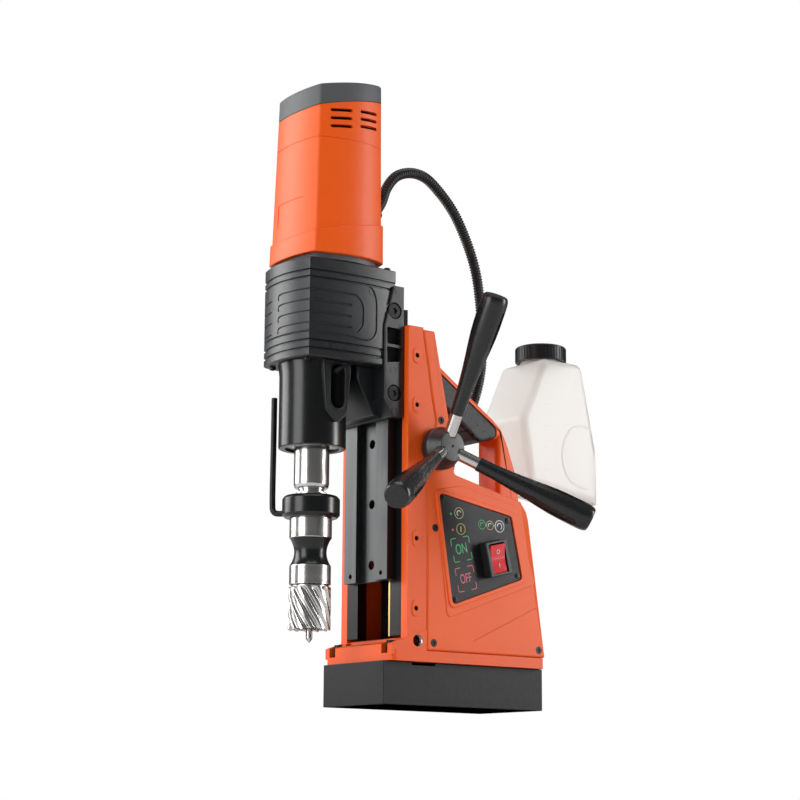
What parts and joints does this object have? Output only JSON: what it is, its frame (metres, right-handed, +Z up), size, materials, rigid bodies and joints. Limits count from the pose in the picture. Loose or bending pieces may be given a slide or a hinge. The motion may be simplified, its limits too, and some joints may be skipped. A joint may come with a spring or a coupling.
{
  "type": "magnetic drill press",
  "caption": "Drill motor on a dovetail slide with spoked feed handle, annular cutter, carry handle, control panel, coolant bottle and magnet base.",
  "frame": {"origin": "centre of the magnet's pole face, on the surface the drill stands on", "axes": "+Z up along the spindle and slide, -Y towards the spindle side, +X towards the feed handle and panel"},
  "size_m": [0.2299, 0.4388, 0.6306],
  "materials": {
    "orange_plastic": "satin moulded",
    "orange_paint": "satin powder coat",
    "black_casting": "fine textured black coat",
    "nose_gloss": "glossy black enamel",
    "black_plastic": "satin moulded",
    "grip_gloss": "semi gloss moulded",
    "grey_plastic": "fine grained moulded",
    "magnet_paint": "satin dark grey paint",
    "magnet_iron": "ground face",
    "slide_steel": "ground",
    "bright_steel": "polished",
    "black_steel": "blackened",
    "brass": "machined",
    "copper_winding": "varnished wire",
    "potting": "cast resin",
    "red_lens": "glossy translucent",
    "board_green": "solder mask",
    "tank_plastic": "milky translucent moulded",
    "rubber": "soft moulded",
    "print_white": "screen print",
    "print_green": "screen print",
    "print_red": "screen print",
    "print_yellow": "screen print"
  },
  "bodies": {
    "base": {"magnet_body": "magnet_paint", "magnet_coil": "potting", "frame_casting": "orange_paint", "foot_bolt_left": "black_steel", "foot_bolt_right": "black_steel", "guide_rail_left": "slide_steel", "guide_rail_right": "slide_steel", "gib_strip": "brass", "gib_screw_1": "black_steel", "gib_screw_2": "black_steel", "gib_screw_3": "black_steel", "gib_screw_4": "black_steel", "gib_screw_5": "black_steel", "right_housing_shell": "orange_plastic", "left_housing_shell": "orange_plastic", "handle_grip": "rubber", "control_panel": "black_plastic", "switch_bezel": "black_plastic", "circuit_board": "board_green", "shell_screw_1": "black_steel", "shell_screw_2": "black_steel", "shell_screw_3": "black_steel", "shell_screw_4": "black_steel", "feed_bush": "brass", "conduit_gland_lower": "black_plastic", "mains_cable_gland": "black_plastic", "bottle_bracket": "magnet_paint"},
    "carriage": {"slide": "slide_steel", "rack": "black_steel", "gearbox_casting": "black_casting", "clamp_bolt_1": "black_steel", "clamp_bolt_2": "black_steel", "spindle_nose": "nose_gloss", "nose_bearing": "bright_steel", "coolant_ring": "black_steel", "coolant_pipe": "black_steel", "motor_flange": "grey_plastic", "motor_housing": "orange_plastic", "motor_cap": "grey_plastic", "stator": "black_steel", "conduit": "black_plastic", "conduit_gland_upper": "black_plastic"},
    "feed": {"pinion_shaft": "black_steel", "feed_hub": "black_casting", "spoke_rod_1": "bright_steel", "spoke_rod_2": "bright_steel", "spoke_rod_3": "bright_steel", "spoke_grip_1": "grip_gloss", "spoke_grip_2": "grip_gloss", "spoke_grip_3": "grip_gloss"},
    "spindle": {"spindle": "bright_steel", "spindle_gear": "black_steel", "arbor": "bright_steel", "annular_cutter": "bright_steel", "pilot_pin": "bright_steel"},
    "armature": {"armature": "copper_winding"},
    "idler": {"idler_gear": "black_steel"},
    "rocker": {"power_rocker": "red_lens"},
    "bottle": {"coolant_bottle": "tank_plastic"},
    "cap": {"bottle_cap": "black_plastic"}
  },
  "joints": [
    {"name": "carriage_slide", "type": "slide", "parent": "base", "child": "carriage", "axis": [0, 0, 1], "range_m": [-0.072, 0.108], "deforming": ["conduit"]},
    {"name": "feed_turn", "type": "hinge", "parent": "base", "child": "feed", "pos_m": [0, -0.04, 0.255], "axis": [1, 0, 0], "range_deg": [-520, 348]},
    {"name": "spindle_spin", "type": "hinge", "parent": "carriage", "child": "spindle", "pos_m": [0, -0.155, 0.2], "axis": [0, 0, 1], "continuous": true},
    {"name": "armature_spin", "type": "hinge", "parent": "carriage", "child": "armature", "pos_m": [0, -0.14, 0.5], "axis": [0, 0, 1], "continuous": true},
    {"name": "idler_spin", "type": "hinge", "parent": "carriage", "child": "idler", "pos_m": [0.0203, -0.13465, 0.4], "axis": [0, 0, 1], "continuous": true},
    {"name": "rocker_tilt", "type": "hinge", "parent": "base", "child": "rocker", "pos_m": [0.0615, 0.031, 0.15], "axis": [0, 0.9724, 0.2334], "range_deg": [-14, 0]},
    {"name": "bottle_lift", "type": "slide", "parent": "base", "child": "bottle", "axis": [0, 0, 1], "range_m": [0, 0.06]},
    {"name": "cap_lift", "type": "slide", "parent": "bottle", "child": "cap", "axis": [0, 0, 1], "range_m": [0, 0.025]}
  ],
  "couplings": [
    {"joint": "feed_turn", "follows": "carriage_slide", "rad_per_m": -83.333},
    {"joint": "idler_spin", "follows": "spindle_spin", "ratio": -2.8333},
    {"joint": "armature_spin", "follows": "spindle_spin", "ratio": 7.0833}
  ]
}
